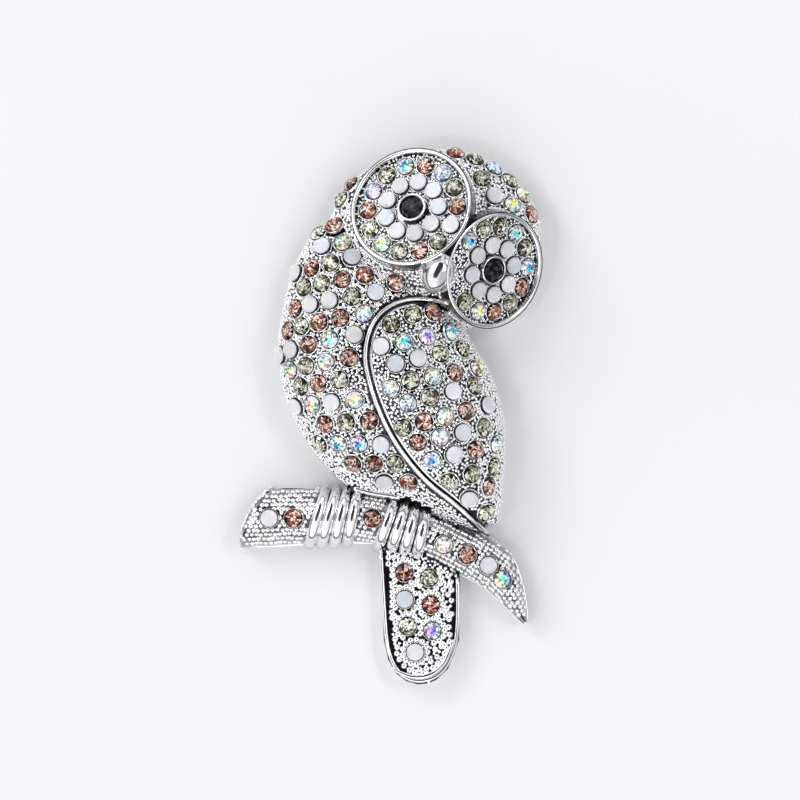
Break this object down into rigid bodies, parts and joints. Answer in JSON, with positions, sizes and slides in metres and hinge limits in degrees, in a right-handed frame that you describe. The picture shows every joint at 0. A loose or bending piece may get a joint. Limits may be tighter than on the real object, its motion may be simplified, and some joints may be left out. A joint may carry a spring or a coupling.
{
  "type": "owl brooch",
  "caption": "Silver plated owl perched on a branch, paved with cut glass stones in milky, champagne, pale green and iridescent tones, with a bar pin on its hollow back.",
  "frame": {"origin": "middle of the brooch's outline in plan, on the back plane that it lies on", "axes": "+Y from the tail to the head, +X to the owl's wing side as seen from the front, +Z out of the face"},
  "size_m": [0.0424, 0.0752, 0.0134],
  "materials": {
    "silver_plate": "bright silver plate, beaded between the stones and polished on rims, beak and toes",
    "pin_steel": "plain plated steel",
    "jet_glass": "black faceted glass",
    "rhinestones": "foiled faceted glass in milky, champagne, pale green and iridescent stones"
  },
  "bodies": {
    "root": {"owl_casting": "silver_plate", "pin_clasp": "pin_steel", "left_pupil": "jet_glass", "right_pupil": "jet_glass", "body_stones": "rhinestones", "wing_stones": "rhinestones", "head_stones": "rhinestones", "left_eye_inner_stones": "rhinestones", "left_eye_outer_stones": "rhinestones", "right_eye_inner_stones": "rhinestones", "right_eye_outer_stones": "rhinestones", "branch_stones": "rhinestones", "tail_stones": "rhinestones"}
  },
  "joints": []
}
